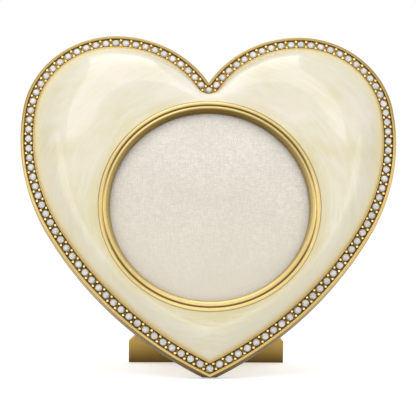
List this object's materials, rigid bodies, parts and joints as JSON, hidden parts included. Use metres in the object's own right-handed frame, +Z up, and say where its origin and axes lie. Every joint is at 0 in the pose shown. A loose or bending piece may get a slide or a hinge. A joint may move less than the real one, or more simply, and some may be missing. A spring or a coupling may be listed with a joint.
{
  "type": "photo frame",
  "caption": "Heart shaped table photo frame with a domed enamel front, a stone-set rim, a round opening and a folding easel leg.",
  "frame": {"origin": "on the table, under the middle of the standing frame's box", "axes": "+X to the right seen from the front, -Y to the front, +Z up"},
  "size_m": [0.102, 0.0458, 0.0916],
  "materials": {
    "gold_casting": "satin gold plate",
    "cream_enamel": "glossy pearl enamel",
    "gold_ring": "polished gold plate",
    "crystal": "white opal, faceted",
    "gold_beads": "polished gold plate",
    "pane_glass": "clear",
    "blank_card": "silky pearl paper, left bare",
    "grey_board": "grey board",
    "felt": "black felt",
    "gold_panel": "brushed gold plate",
    "gold_fittings": "polished gold plate",
    "gold_leg": "polished gold plate"
  },
  "bodies": {
    "frame": {"frame_casting": "gold_casting", "enamel_front": "cream_enamel", "opening_ring": "gold_ring", "rim_crystals": "crystal", "setting_beads": "gold_beads", "glass_pane": "pane_glass", "photo_card": "blank_card", "backing_board": "grey_board", "pressure_pad": "felt", "back_panel": "gold_panel", "hinge_plate": "gold_fittings", "hinge_rivets": "gold_fittings", "hinge_pin": "gold_fittings", "catch_screws": "gold_fittings"},
    "leg": {"easel_leg": "gold_leg", "leg_hinge_leaf": "gold_fittings", "leg_rivets": "gold_fittings"},
    "upper_left_button": {"turn_button_upper_left": "gold_fittings"},
    "upper_right_button": {"turn_button_upper_right": "gold_fittings"},
    "lower_left_button": {"turn_button_lower_left": "gold_fittings"},
    "lower_right_button": {"turn_button_lower_right": "gold_fittings"}
  },
  "joints": [
    {"name": "leg_hinge", "type": "hinge", "parent": "frame", "child": "leg", "pos_m": [0, 0.00515, 0.05711], "axis": [1, 0, 0], "range_deg": [-33, 0]},
    {"name": "upper_left_turn", "type": "hinge", "parent": "frame", "child": "upper_left_button", "pos_m": [-0.04299, 0.01131, 0.08036], "axis": [0, 0.9455, -0.3256], "continuous": true},
    {"name": "upper_right_turn", "type": "hinge", "parent": "frame", "child": "upper_right_button", "pos_m": [0.04299, 0.01131, 0.08036], "axis": [0, 0.9455, -0.3256], "continuous": true},
    {"name": "lower_left_turn", "type": "hinge", "parent": "frame", "child": "lower_left_button", "pos_m": [-0.02371, -0.01049, 0.01706], "axis": [0, 0.9455, -0.3256], "continuous": true},
    {"name": "lower_right_turn", "type": "hinge", "parent": "frame", "child": "lower_right_button", "pos_m": [0.02371, -0.01049, 0.01706], "axis": [0, 0.9455, -0.3256], "continuous": true}
  ]
}
